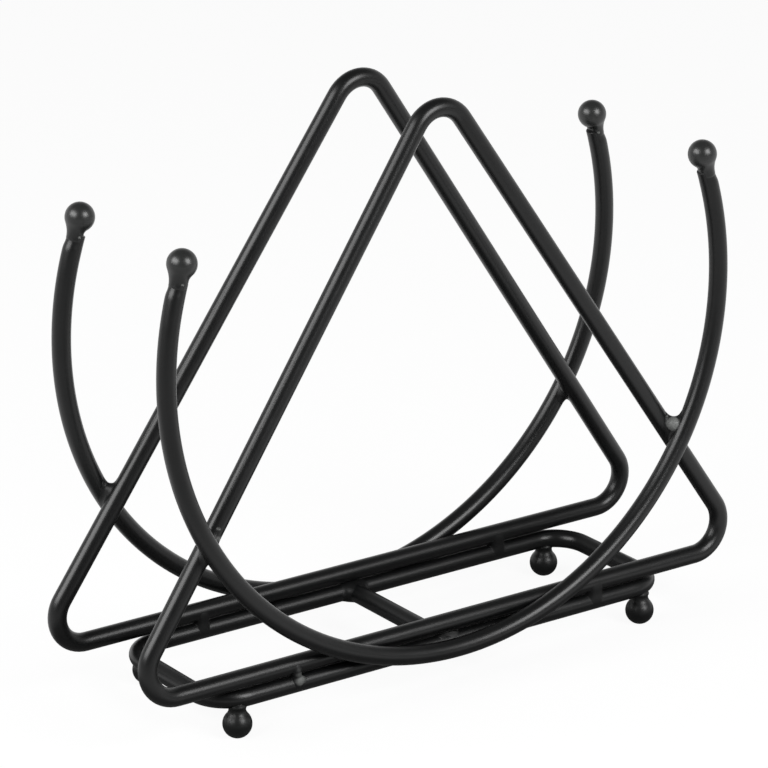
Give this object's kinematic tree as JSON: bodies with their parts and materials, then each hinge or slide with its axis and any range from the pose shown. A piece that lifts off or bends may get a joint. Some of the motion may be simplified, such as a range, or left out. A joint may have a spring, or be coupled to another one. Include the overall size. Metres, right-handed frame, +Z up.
{
  "type": "tissue holder",
  "caption": "Upright tissue holder of welded round wire: leaning triangles on a flat base loop, with open ball-ended arcs on their outer faces and ball feet.",
  "frame": {"origin": "on the table, under the middle of the holder", "axes": "+Z up, X along the bottom wires, front triangle towards -Y"},
  "size_m": [0.1562, 0.0488, 0.1294],
  "materials": {
    "wire_coating": "satin black powder coat with soft sheen",
    "ball_coating": "satin black powder coat, a little smoother over the balls",
    "weld_coating": "satin black powder coat over uneven weld metal"
  },
  "bodies": {
    "root": {"front_triangle": "wire_coating", "back_triangle": "wire_coating", "front_arc": "wire_coating", "back_arc": "wire_coating", "base_loop": "wire_coating", "cross_bar": "wire_coating", "front_left_finial": "ball_coating", "front_right_finial": "ball_coating", "back_left_finial": "ball_coating", "back_right_finial": "ball_coating", "front_left_foot": "ball_coating", "front_right_foot": "ball_coating", "back_left_foot": "ball_coating", "back_right_foot": "ball_coating", "front_left_crossing_weld": "weld_coating", "front_right_crossing_weld": "weld_coating", "back_left_crossing_weld": "weld_coating", "back_right_crossing_weld": "weld_coating", "front_left_base_weld": "weld_coating", "front_right_base_weld": "weld_coating", "back_left_base_weld": "weld_coating", "back_right_base_weld": "weld_coating", "front_bar_collar": "weld_coating", "back_bar_collar": "weld_coating"}
  },
  "joints": []
}
